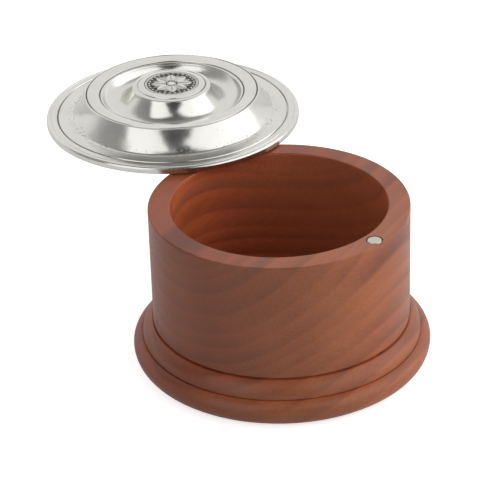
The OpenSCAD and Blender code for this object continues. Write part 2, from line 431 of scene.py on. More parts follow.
    def figure(self, tree: Tree, grain: Socket) -> Socket:
        """Lays lines, flushes, stains and end grain over the early wood in turn.

        Args:
            tree: Node tree of the material.
            grain: Place in the block.

        Returns:
            The socket of the colour.
        """
        radius = self.ring_radius(tree, grain)
        colour: Any = srgb(self.early)
        for share, tone in (
            (self.lateness(tree, radius), self.late),
            (self.warmth(tree, grain), self.flush),
            (self.stain(tree, radius), self.grey),
            (self.fleck(tree), self.grey),
            (self.end_grain(tree), self.end_tone),
        ):
            colour = add_node(
                tree,
                "ShaderNodeMix",
                {0: share, MIX_A: colour, MIX_B: srgb(tone)},
                data_type="RGBA",
            ).outputs[MIX_OUT]
        return colour

    def beyond(self, tree: Tree, centre: Vector, edge: tuple[float, float]) -> Socket:
        """Gives 0 inside a round edge about an upright axis and 1 outside it.

        Args:
            tree: Node tree of the material.
            centre: Place of the axis, in metres.
            edge: Distances from the axis between which the result rises, in millimetres.

        Returns:
            The socket of the result.
        """
        distance = around_axis(tree, centre)[1]
        near, far = edge
        return add_node(
            tree, "ShaderNodeMapRange", {"Value": distance, 1: near * MM, 2: far * MM}
        ).outputs[0]

    def age(self, tree: Tree, grain: Socket) -> Socket:
        """Gives the tint of the block: painted light, paler on the side toward the right soft box and
        brighter in the bore.

        Args:
            tree: Node tree of the material.
            grain: Place in the block.

        Returns:
            The socket of the tint.
        """
        side = add_node(tree, "ShaderNodeSeparateXYZ", {0: grain}).outputs["X"]
        # Painted light: the block turns paler toward the side that the right soft box lights
        outward = add_node(
            tree,
            "ShaderNodeMapRange",
            {"Value": side, 1: self.lit_from * MM, 2: self.lit_to * MM},
        ).outputs[0]
        side_lit = add_node(
            tree,
            "ShaderNodeMix",
            {0: outward, MIX_A: (*self.shade_side_tint, 1.0), MIX_B: (*self.lit_side_tint, 1.0)},
            data_type="RGBA",
        ).outputs[MIX_OUT]
        # Painted light: the bore is brightened up to its edge
        outside = self.beyond(tree, Vector((0, 0, 0)), self.bore_light_edge)
        return add_node(
            tree,
            "ShaderNodeMix",
            {0: outside, MIX_A: (*self.bore_light_tint, 1.0), MIX_B: side_lit},
            data_type="RGBA",
        ).outputs[MIX_OUT]

    def fibres(self, tree: Tree, grain: Socket) -> Socket:
        """Gives the noise of the fibres, drawn out along the grain.

        Args:
            tree: Node tree of the material.
            grain: Place in the block.

        Returns:
            The socket of the noise.
        """
        across = 1 / (self.fibre_wide * MM)
        along = 1 / (self.fibre_long * MM)
        place = add_node(
            tree, "ShaderNodeVectorMath", {0: grain, 1: (across, along, across)}, operation="MULTIPLY"
        ).outputs[0]
        return add_node(
            tree, "ShaderNodeTexNoise", {"Vector": place, "Scale": 0.5, "Detail": 3}
        ).outputs[0]

    def colour(self, tree: Tree, grain: Socket, fibres: Socket) -> Socket:
        """Tints the figure with its fibres and its painted light tint, and darkens the glue round the magnet.

        Args:
            tree: Node tree of the material.
            grain: Place in the block.
            fibres: Noise of the fibres.

        Returns:
            The socket of the colour.
        """
        low, high = self.fibre_tones
        tone = add_node(
            tree, "ShaderNodeMapRange", {"Value": fibres, 1: NOISE_LOW, 2: NOISE_HIGH, 3: low, 4: high}
        ).outputs[0]
        fibrous = add_node(
            tree,
            "ShaderNodeVectorMath",
            {0: self.figure(tree, grain), "Scale": tone},
            operation="SCALE",
        ).outputs[0]
        tinted = add_node(
            tree, "ShaderNodeVectorMath", {0: fibrous, 1: self.age(tree, grain)}, operation="MULTIPLY"
        ).outputs[0]
        clear = self.beyond(tree, self.magnet_at, self.glue_edge)
        return add_node(
            tree,
            "ShaderNodeMix",
            {0: clear, MIX_A: srgb(self.glue), MIX_B: tinted},
            data_type="RGBA",
        ).outputs[MIX_OUT]

    def build(self) -> bpy.types.Material:
        """Builds the wood with its rings about the heart of the tree, as one block.

        Returns:
            The material.
        """
        material, tree = new_material("oiled_cherry")
        grain = self.grain_place(tree)
        fibres = self.fibres(tree, grain)
        smooth, dry = self.roughness
        rough = add_node(
            tree, "ShaderNodeMapRange", {"Value": fibres, 1: NOISE_LOW, 2: NOISE_HIGH, 3: smooth, 4: dry}
        ).outputs[0]
        bump = add_node(
            tree,
            "ShaderNodeBump",
            {"Height": fibres, "Strength": 0.3, "Distance": self.fibre_deep * MM},
        ).outputs[0]
        shader = add_node(
            tree,
            "ShaderNodeBsdfPrincipled",
            {
                "Base Color": self.colour(tree, grain, fibres),
                "Roughness": rough,
                "Normal": bump,
                "IOR": self.ior,
                "Specular IOR Level": self.specular,
            },
        ).outputs[0]
        add_node(tree, "ShaderNodeOutputMaterial", {"Surface": shader})
        return material


@dataclass(frozen=True)
class CastPewter:
    """Pewter cast in a mould and polished by hand: soft grey shine, slight waves, pits and dark lines."""

    # Middle of the lid's underside, in metres, and the radii of its engraved lines
    centre: Vector
    line_radii: tuple[float, ...]
    # Distances from the middle of a line at which its dark begins to fade and ends
    line_fade: tuple[float, float] = (0.12, 0.4)
    bright: str = "#e2e1dc"
    dull: str = "#cfcec8"
    dark: str = "#4a4842"
    # Size of the clouds of bright and dull, and the roughness between which they change
    cloud: float = 16.7
    roughness: tuple[float, float] = (0.14, 0.26)
    # Size of the places that polishing has rubbed, the noise between which the dark comes back
    # and the share of it that rubbing has left
    rub: float = 41.7
    rub_span: tuple[float, float] = (0.42, 0.56)
    rub_left: float = 0.15
    # Length and height of the waves that the hand left, and of the grain
    wave: float = 9.0
    wave_height: float = 0.4
    grain: float = 0.6
    grain_height: float = 0.03
    # Radius round which the casting is pitted, and the distances from it between which that ends
    pit_radius: float = 45.0
    pit_belt: tuple[float, float] = (0.5, 2.5)
    # Size and depth of a pit, how dark it is, and the noise that a pit has to pass beside the
    # belt and in it
    pit: float = 0.7
    pit_depth: float = 0.12
    pit_dark: float = 0.6
    pit_limits: tuple[float, float] = (0.75, 0.64)
    pit_edge: float = 0.05

    def near(self, tree: Tree, radius: Socket, line: float, fade: tuple[float, float]) -> Socket:
        """Gives 1 near a radius, falling to 0 beside it.

        Args:
            tree: Node tree of the material.
            radius: Distance from the lid's axis.
            line: The radius in question, in millimetres.
            fade: Distances from it between which the result falls.

        Returns:
            The socket of the result.
        """
        off = add_node(tree, "ShaderNodeMath", {0: radius, 1: line * MM}, operation="SUBTRACT").outputs[0]
        gap = add_node(tree, "ShaderNodeMath", {0: off}, operation="ABSOLUTE").outputs[0]
        inner, outer = fade
        return add_node(
            tree,
            "ShaderNodeMapRange",
            {"Value": gap, 1: inner * MM, 2: outer * MM, 3: 1.0, 4: 0.0},
            interpolation_type="SMOOTHSTEP",
        ).outputs[0]

    def engraving(self, tree: Tree, local: Socket, radius: Socket) -> Socket:
        """Gives how dark the engraved lines are, where polishing has left their patina.

        Args:
            tree: Node tree of the material.
            local: Place from the middle of the lid's underside.
            radius: Distance from the lid's axis.

        Returns:
            The socket of the share.
        """
        lines: Any = 0.0
        for line in self.line_radii:
            mark = self.near(tree, radius, line, self.line_fade)
            lines = add_node(tree, "ShaderNodeMath", {0: lines, 1: mark}, operation="MAXIMUM").outputs[0]
        rub = add_node(
            tree, "ShaderNodeTexNoise", {"Vector": local, "Scale": 1 / (self.rub * MM), "Detail": 2}
        ).outputs[0]
        low, high = self.rub_span
        left = add_node(
            tree, "ShaderNodeMapRange", {"Value": rub, 1: low, 2: high, 3: self.rub_left, 4: 1.0}
        ).outputs[0]
        return add_node(tree, "ShaderNodeMath", {0: lines, 1: left}, operation="MULTIPLY").outputs[0]

    def pitting(self, tree: Tree, local: Socket, radius: Socket) -> Socket:
        """Gives the casting pits, which show where a noise passes a limit that falls in their belt.

        Args:
            tree: Node tree of the material.
            local: Place from the middle of the lid's underside.
            radius: Distance from the lid's axis.

        Returns:
            The socket of the pits, 1 in a pit and 0 beside it.
        """
        noise = add_node(
            tree,
            "ShaderNodeTexNoise",
            {"Vector": local, "Scale": 1 / (self.pit * MM), "Detail": 1, "Roughness": 0.4},
        ).outputs[0]
        belt = self.near(tree, radius, self.pit_radius, self.pit_belt)
        outside, inside = self.pit_limits
        limit = add_node(
            tree, "ShaderNodeMapRange", {"Value": belt, 1: 0.0, 2: 1.0, 3: outside, 4: inside}
        ).outputs[0]
        over = add_node(tree, "ShaderNodeMath", {0: noise, 1: limit}, operation="SUBTRACT").outputs[0]
        return add_node(
            tree, "ShaderNodeMapRange", {"Value": over, 1: 0.0, 2: self.pit_edge, 3: 0.0, 4: 1.0}
        ).outputs[0]

    def unevenness(self, tree: Tree, local: Socket, pits: Socket) -> Socket:
        """Gives the bumped normal: slow waves, a fine grain and the pits.

        Args:
            tree: Node tree of the material.
            local: Place from the middle of the lid's underside.
            pits: Casting pits.

        Returns:
            The socket of the normal.
        """
        waves, fine = (
            add_node(
                tree,
                "ShaderNodeTexNoise",
                {"Vector": local, "Scale": 1 / (size * MM), "Detail": detail},
            ).outputs[0]
            for size, detail in ((self.wave, 1), (self.grain, 3))
        )
        wavy = add_node(
            tree,
            "ShaderNodeBump",
            {"Height": waves, "Strength": 0.5, "Distance": self.wave_height * MM},
        ).outputs[0]
        grainy = add_node(
            tree,
            "ShaderNodeBump",
            {"Height": fine, "Strength": 0.3, "Distance": self.grain_height * MM, "Normal": wavy},
        ).outputs[0]
        return add_node(
            tree,
            "ShaderNodeBump",
            {"Height": pits, "Strength": 0.6, "Distance": self.pit_depth * MM, "Normal": grainy},
            invert=True,
        ).outputs[0]

    def build(self) -> bpy.types.Material:
        """Builds the pewter, with its engraved lines darkened round the lid's own axis.

        Returns:
            The material.
        """
        material, tree = new_material("cast_pewter")
        local, radius = around_axis(tree, self.centre)
        cloud = add_node(
            tree, "ShaderNodeTexNoise", {"Vector": local, "Scale": 1 / (self.cloud * MM), "Detail": 4}
        ).outputs[0]
        pits = self.pitting(tree, local, radius)
        dark_pits = add_node(
            tree, "ShaderNodeMath", {0: pits, 1: self.pit_dark}, operation="MULTIPLY"
        ).outputs[0]
        marks = add_node(
            tree,
            "ShaderNodeMath",
            {0: self.engraving(tree, local, radius), 1: dark_pits},
            operation="MAXIMUM",
        ).outputs[0]
        colour: Any = srgb(self.dull)
        for share, tone in ((cloud, self.bright), (marks, self.dark)):
            colour = add_node(
                tree,
                "ShaderNodeMix",
                {0: share, MIX_A: colour, MIX_B: srgb(tone)},
                data_type="RGBA",
            ).outputs[MIX_OUT]
        smooth, dull = self.roughness
        rough = add_node(
            tree, "ShaderNodeMapRange", {"Value": cloud, 1: NOISE_LOW, 2: NOISE_HIGH, 3: smooth, 4: dull}
        ).outputs[0]
        bump = self.unevenness(tree, local, pits)
        shader = add_node(
            tree,
            "ShaderNodeBsdfPrincipled",
            {"Base Color": colour, "Roughness": rough, "Normal": bump, "Metallic": 1.0},
        ).outputs[0]
        add_node(tree, "ShaderNodeOutputMaterial", {"Surface": shader})
        return material


@dataclass(frozen=True)
class AntiquePewter:
    """Cast pewter relief with a dark patina: nearly black in its hollows and rubbed bright on top."""

    # Heights at which the dark ends and the bright begins, in metres in the row's frame
    hollow: float
    top: float
    dark: str = "#605e59"
    bright: str = "#e4e3de"
    roughness: tuple[float, float] = (0.55, 0.28)
    # Size of the patches in the patina, and how far they shift it
    patch: float = 1.11
    patch_share: float = 0.15

    def build(self) -> bpy.types.Material:
        """Builds the patina, which follows the height of the relief.

        Returns:
            The material.
        """
        material, tree = new_material("antique_pewter")
        place = add_node(tree, "ShaderNodeTexCoord").outputs["Object"]
        height = add_node(tree, "ShaderNodeSeparateXYZ", {0: place}).outputs["Z"]
        rubbed = add_node(
            tree,
            "ShaderNodeMapRange",
            {"Value": height, 1: self.hollow, 2: self.top, 3: 0.0, 4: 1.0},
            interpolation_type="SMOOTHSTEP",
        ).outputs[0]
        noise = add_node(
            tree, "ShaderNodeTexNoise", {"Vector": place, "Scale": 1 / (self.patch * MM), "Detail": 3}
        ).outputs[0]
        patchy = add_node(
            tree,
            "ShaderNodeMapRange",
            {"Value": noise, 1: NOISE_LOW, 2: NOISE_HIGH, 3: -self.patch_share, 4: self.patch_share},
        ).outputs[0]
        share = add_node(
            tree, "ShaderNodeMath", {0: rubbed, 1: patchy}, operation="ADD", use_clamp=True
        ).outputs[0]
        colour = add_node(
            tree,
            "ShaderNodeMix",
            {0: share, MIX_A: srgb(self.dark), MIX_B: srgb(self.bright)},
            data_type="RGBA",
        ).outputs[MIX_OUT]
        matt, rubbed_bright = self.roughness
        rough = add_node(
            tree, "ShaderNodeMapRange", {"Value": share, 1: 0.0, 2: 1.0, 3: matt, 4: rubbed_bright}
        ).outputs[0]
        shader = add_node(
            tree,
            "ShaderNodeBsdfPrincipled",
            {"Base Color": colour, "Roughness": rough, "Metallic": 1.0},
        ).outputs[0]
        add_node(tree, "ShaderNodeOutputMaterial", {"Surface": shader})
        return material


@dataclass(frozen=True)
class TurnedMetal:
    """Small plated or turned metal piece: even colour broken by fine scratches."""

    name: str
    colour: str
    roughness: float
    # Spacing and depth of the scratches, coarser than real ones so that they show
    scratch: float = 0.4
    scratch_depth: float = 0.01

    def build(self) -> bpy.types.Material:
        """Builds the metal with a fine scratched bump.

        Returns:
            The material.
        """
        material, tree = new_material(self.name)
        place = add_node(tree, "ShaderNodeTexCoord").outputs["Object"]
        scratches = add_node(
            tree, "ShaderNodeTexNoise", {"Vector": place, "Scale": 1 / (self.scratch * MM), "Detail": 3}
        ).outputs[0]
        bump = add_node(
            tree,
            "ShaderNodeBump",
            {"Height": scratches, "Strength": 0.3, "Distance": self.scratch_depth * MM},
        ).outputs[0]
        shader = add_node(
            tree,
            "ShaderNodeBsdfPrincipled",
            {
                "Base Color": srgb(self.colour),
                "Roughness": self.roughness,
                "Metallic": 1.0,
                "Normal": bump,
            },
        ).outputs[0]
        add_node(tree, "ShaderNodeOutputMaterial", {"Surface": shader})
        return material


class Metal(Enum):
    """Small metal pieces' finishes: plated nickel, turned brass and bright steel."""

    NICKEL = TurnedMetal("plated_nickel", "#cbc3b5", 0.32)
    BRASS = TurnedMetal("turned_brass", "#c9a75a", 0.3)
    STEEL = TurnedMetal("bright_steel", "#b9bab8", 0.25)


def dress(node: bpy.types.Object, material: bpy.types.Material) -> None:
    """Gives every slot of a piece the same material.

    Args:
        node: Piece to dress.
        material: Its finish.
    """
    if not node.data.materials:
        node.data.materials.append(material)
    for slot in node.material_slots:
        slot.material = material
    LOG.info("%s wears %s", node.name, material.name)


def new_piece(name: str, mesh: bpy.types.Mesh) -> bpy.types.Object:
    """Puts a mesh into the scene as a piece.

    Args:
        name: Name of the piece.
        mesh: Its mesh, with its place in it.

    Returns:
        The new object, at the origin.
    """
    piece = bpy.data.objects.new(name, mesh)
    mesh.name = name
    bpy.context.scene.collection.objects.link(piece)
    return piece


def close_mesh(mesh: bpy.types.Mesh, sharp_deg: float = 30.0) -> None:
    """Merges a mesh's doubles, turns its faces outwards and smooths it up to an angle.

    Args:
        mesh: Closed mesh to finish.
        sharp_deg: Angle between faces past which their edge stays sharp.
    """
    shape = bmesh.new()
    shape.from_mesh(mesh)
    bmesh.ops.remove_doubles(shape, verts=shape.verts, dist=0.002 * MM)
    bmesh.ops.dissolve_degenerate(shape, edges=shape.edges, dist=0.001 * MM)
    bmesh.ops.recalc_face_normals(shape, faces=shape.faces)
    shape.to_mesh(mesh)
    shape.free()
    mesh.shade_smooth()
    mesh.set_sharp_from_angle(angle=math.radians(sharp_deg))


# Socket type of a tree's input for each type of value
SOCKET_KINDS = {
    int: "NodeSocketInt",
    float: "NodeSocketFloat",
    Vector: "NodeSocketVector",
    bpy.types.Material: "NodeSocketMaterial",
}


@dataclass
class ShapeTree:
    """A Geometry Nodes tree with named inputs, run once on a mesh to make a plain one."""

    name: str
    values: dict[str, Any]
    tree: Tree = field(init=False)
    given: bpy.types.Node = field(init=False)
    sockets: dict[str, str] = field(init=False, default_factory=dict)

    def __post_init__(self) -> None:
        """Makes the tree with an input for each value."""
        self.tree = bpy.data.node_groups.new(self.name, "GeometryNodeTree")
        face = self.tree.interface
        face.new_socket("Geometry", in_out="INPUT", socket_type="NodeSocketGeometry")
        face.new_socket("Geometry", in_out="OUTPUT", socket_type="NodeSocketGeometry")
        for label, value in self.values.items():
            socket = face.new_socket(label, in_out="INPUT", socket_type=SOCKET_KINDS[type(value)])
            self.sockets[label] = socket.identifier
        self.given = self.tree.nodes.new("NodeGroupInput")

    def finish(self, shape: Socket) -> None:
        """Ends the tree in realized instances that wear the material.

        Args:
            shape: Geometry that the tree has made.
        """
        real = add_node(self.tree, "GeometryNodeRealizeInstances", {0: shape}).outputs[0]
        dressed = add_node(
            self.tree,
            "GeometryNodeSetMaterial",
            {"Geometry": real, "Material": self.given.outputs["Material"]},
        ).outputs[0]
        add_node(self.tree, "NodeGroupOutput", {0: dressed})

    def remember(self, curve: Socket, label: str) -> tuple[Socket, Socket]:
        """Notes the place of each point of a curve, to be read after the curve is swept.

        Args:
            curve: The curve.
            label: Name of the note.

        Returns:
            The sockets of the curve and of the noted place.
        """
        place = add_node(self.tree, "GeometryNodeInputPosition").outputs[0]
        note = add_node(self.tree, "GeometryNodeCaptureAttribute", {0: curve})
        note.capture_items.new("VECTOR", label)
        self.tree.links.new(place, note.inputs[1])
        return note.outputs[0], note.outputs[1]

    def run(self, mesh: bpy.types.Mesh, cutters: tuple[bpy.types.Object, ...] = ()) -> bpy.types.Mesh:
        """Runs the tree on a mesh and turns the result into a plain mesh.

        Args:
            mesh: Mesh that the tree starts from.
            cutters: Closed pieces to cut out of the result.

        Returns:
            The finished mesh.
        """
        blank = new_piece(f"{self.name}_blank", mesh)
        modifier = blank.modifiers.new(self.name, "NODES")
        modifier.node_group = self.tree
        for label, value in self.values.items():
            modifier[self.sockets[label]] = value
        for cutter in cutters:
            cut = blank.modifiers.new(cutter.name, "BOOLEAN")
            cut.object = cutter
            cut.solver = "EXACT"
        graph = bpy.context.evaluated_depsgraph_get()
        made = bpy.data.meshes.new_from_object(blank.evaluated_get(graph), depsgraph=graph)
        for helper in (blank, *cutters):
            helper.modifiers.clear()
            bpy.data.objects.remove(helper)
        return made


@dataclass
class Section:
    """Half section of a turned piece in radius and height, from its axis round to its axis again."""

    places: list[Vector] = field(default_factory=list)

    def line(self, *places: Vector) -> None:
        """Goes straight to each place in turn."""
        self.places.extend(places)

    def arc(self, centre: Vector, start: Vector, end: Vector, turn: int, step_deg: float = 4.0) -> None:
        """Goes round an arc.

        Args:
            centre: Centre of the arc.
            start: Place where it starts, which sets its radius.
            end: Place in whose direction from the centre it ends.
            turn: 1 to go counter-clockwise, with the radius to the right and up, or -1.
            step_deg: Largest angle between two points.
        """
        out = start - centre
        first = math.atan2(out.y, out.x)
        last = math.atan2(end.y - centre.y, end.x - centre.x)
        sweep = (turn * (last - first)) % math.tau
        count = max(2, math.ceil(math.degrees(sweep) / step_deg))
        for i in range(count + 1):
            angle = first + turn * sweep * i / count
            self.places.append(centre + Vector((math.cos(angle), math.sin(angle))) * out.length)

    def surface(
        self,
        height: Callable[[float], float],
        start: float,
        end: float,
        grooves: tuple[tuple[float, float, float], ...] = (),
        spacing: float = 0.8,
        groove_steps: int = 10,
    ) -> None:
        """Goes outwards over a surface with round grooves turned into it.

        Args:
            height: Height of the plain surface at a radius.
            start: Radius where the surface starts.
            end: Radius where it ends.
            grooves: Radius, width and depth of each groove.
            spacing: Distance between points beside the grooves.
            groove_steps: Number of steps across a groove.
        """
        count = math.ceil((end - start) / spacing)
        radii = {start + (end - start) * i / count for i in range(count + 1)}
        for middle, width, _ in grooves:
            step = width / groove_steps
            radii = {r for r in radii if abs(r - middle) > width / 2 + step}
            radii |= {middle - width / 2 + step * i for i in range(groove_steps + 1)}
        for r in sorted(radii):
            depth = sum(max(0.0, 1 - (2 * (r - m) / w) ** 2) * d for m, w, d in grooves)
            self.places.append(Vector((r, height(r) - depth)))

    def turned(
        self,
        name: str,
        material: bpy.types.Material,
        centre: Vector,
        segments: int = 256,
        cutters: tuple[bpy.types.Object, ...] = (),
    ) -> bpy.types.Mesh:
        """Turns the section round its axis.

        Args:
            name: Name of the tree.
            material: Finish of the piece.
            centre: Place of the section's zero, in metres.
            segments: Number of steps round the axis.
            cutters: Closed pieces to cut out of it.

        Returns:
            Closed mesh of the turned piece.
        """
        outline = bpy.data.meshes.new(name)
        outline.from_pydata(
            [(p.x * MM, 0, p.y * MM) for p in self.places],
            [(i, i + 1) for i in range(len(self.places) - 1)],
            [],
        )
        lathe = ShapeTree(name, {"Segments": segments, "Centre": centre, "Material": material})
        sweep_round(lathe)
        mesh = lathe.run(outline, cutters)
        close_mesh(mesh)
        return mesh


def sweep_round(lathe: ShapeTree) -> None:
    """Adds the nodes that sweep an outline in X and Z round the Z axis.

    Args:
        lathe: Tree with the inputs Geometry, Segments, Centre and Material.
    """
    tree, given = lathe.tree, lathe.given
    outline = add_node(tree, "GeometryNodeMeshToCurve", {"Mesh": given.outputs["Geometry"]}).outputs[0]
    circle = add_node(
        tree,
        "GeometryNodeCurvePrimitiveCircle",
        {"Resolution": given.outputs["Segments"], "Radius": 1.0},
    ).outputs[0]
    profile, drawn = lathe.remember(outline, "Section")
    path, direction = lathe.remember(circle, "Direction")
    swept = add_node(
        tree, "GeometryNodeCurveToMesh", {"Curve": path, "Profile Curve": profile}
    ).outputs[0]
    half = add_node(tree, "ShaderNodeSeparateXYZ", {0: drawn})
    out = add_node(
        tree, "ShaderNodeVectorMath", {0: direction, "Scale": half.outputs["X"]}, operation="SCALE"
    ).outputs[0]
    up = add_node(tree, "ShaderNodeCombineXYZ", {"Z": half.outputs["Z"]}).outputs[0]
    risen = add_node(tree, "ShaderNodeVectorMath", {0: out, 1: up}, operation="ADD").outputs[0]
    moved = add_node(
        tree, "ShaderNodeVectorMath", {0: risen, 1: given.outputs["Centre"]}, operation="ADD"
    ).outputs[0]
    shaped = add_node(
        tree, "GeometryNodeSetPosition", {"Geometry": swept, "Position": moved}
    ).outputs[0]
    closed = add_node(
        tree, "GeometryNodeMergeByDistance", {"Geometry": shaped, "Distance": 0.002 * MM}
    ).outputs[0]
    lathe.finish(closed)


def meet(centre_a: Vector, radius_a: float, centre_b: Vector, radius_b: float) -> Vector:
    """Finds where two circles meet, on the left of the way from the first centre to the second.

    Args:
        centre_a: Centre of the first circle.
        radius_a: Its radius.
        centre_b: Centre of the second circle.
        radius_b: Its radius.

    Returns:
        The place where they meet.
    """
    way = centre_b - centre_a
    along = (radius_a**2 - radius_b**2 + way.length_squared) / (2 * way.length)
    side = math.sqrt(radius_a**2 - along**2)
    unit = way.normalized()
    return centre_a + along * unit + side * Vector((-unit.y, unit.x))


def toward(centre: Vector, place: Vector, radius: float) -> Vector:
    """Gives the place at a distance from a centre, in the direction of another place."""
    return centre + (place - centre).normalized() * radius


def above(centre: Vector, radius: float, x: float) -> Vector:
    """Gives the place on the upper half of a circle at a distance from the lid's axis."""
    return Vector((x, centre.y + math.sqrt(radius**2 - (x - centre.x) ** 2)))


def below(centre: Vector, radius: float, x: float) -> Vector:
    """Gives the place on the lower half of a circle at a distance from the lid's axis."""
    return Vector((x, centre.y - math.sqrt(radius**2 - (x - centre.x) ** 2)))


def inward(centre: Vector, radius: float, z: float) -> Vector:
    """Gives the place at a height on the half of a circle that faces the lid's axis."""
    return Vector((centre.x - math.sqrt(radius**2 - (z - centre.y) ** 2), z))


@dataclass
class WoodenBox:
    """The turned box with its magnet, bush and thrust washer."""

    nodes: dict[str, bpy.types.Object]

    def build(self) -> None:
        """Dresses the pieces that ride on the box."""
        low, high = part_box("rim_magnet")
        dress(self.nodes["box_body"], OiledCherry((low + high) / 2).build())
        dress(self.nodes["rim_magnet"], Metal.NICKEL.value.build())
        brass = Metal.BRASS.value.build()
        for name in ("pivot_bush", "thrust_washer"):
            dress(self.nodes[name], brass)


@dataclass(frozen=True)
class Leaf:
    """A leaf of the rosette with a rib and slanting veins, repeated evenly round the middle."""

    count: int
    # Share of the way to the next leaf by which the first one is set off
    phase: float
    # Distances from the middle where it starts and ends, half its width, and its height from 0 to 1
    start: float
    end: float
    half_width: float
    high: float
    # Powers that place its widest point and round its ends, and the width of its sloping edge
    widest: float = 0.85
    blunt: float = 0.7
    slope: float = 0.3
    # Half the width of the rib's groove, and how deep it cuts
    rib: float = 0.22
    rib_cut: float = 0.6
    # Spacing and slant of the veins, how far from the rib they reach their depth, and that depth
    vein: float = 1.15
    vein_slant: float = 0.9
    vein_from: float = 0.5
    vein_cut: float = 0.3

    def rise(self, r: float, angle: float) -> float:
        """Gives the height of the leaf over the ground, from 0 to 1.

        Args:
            r: Distance from the middle in millimetres.
            angle: Direction in radians.

        Returns:
            The height.
        """
        along = (r - self.start) / (self.end - self.start)
        if not 0.0 < along < 1.0:
            return 0.0
        turn = math.tau / self.count
        off = abs((angle / turn + self.phase + 0.5) % 1.0 - 0.5) * turn * r
        half = self.half_width * math.sin(math.pi * along**self.widest) ** self.blunt
        if off >= half:
            return 0.0
        rib = self.rib_cut * math.exp(-((off / self.rib) ** 2))
        wave = 0.5 + 0.5 * math.cos(math.tau * (r + self.vein_slant * off) / self.vein)
        veins = self.vein_cut * wave * min(1.0, off / self.vein_from)
        return min(1.0, (half - off) / self.slope) * self.high * (1.0 - rib - veins)


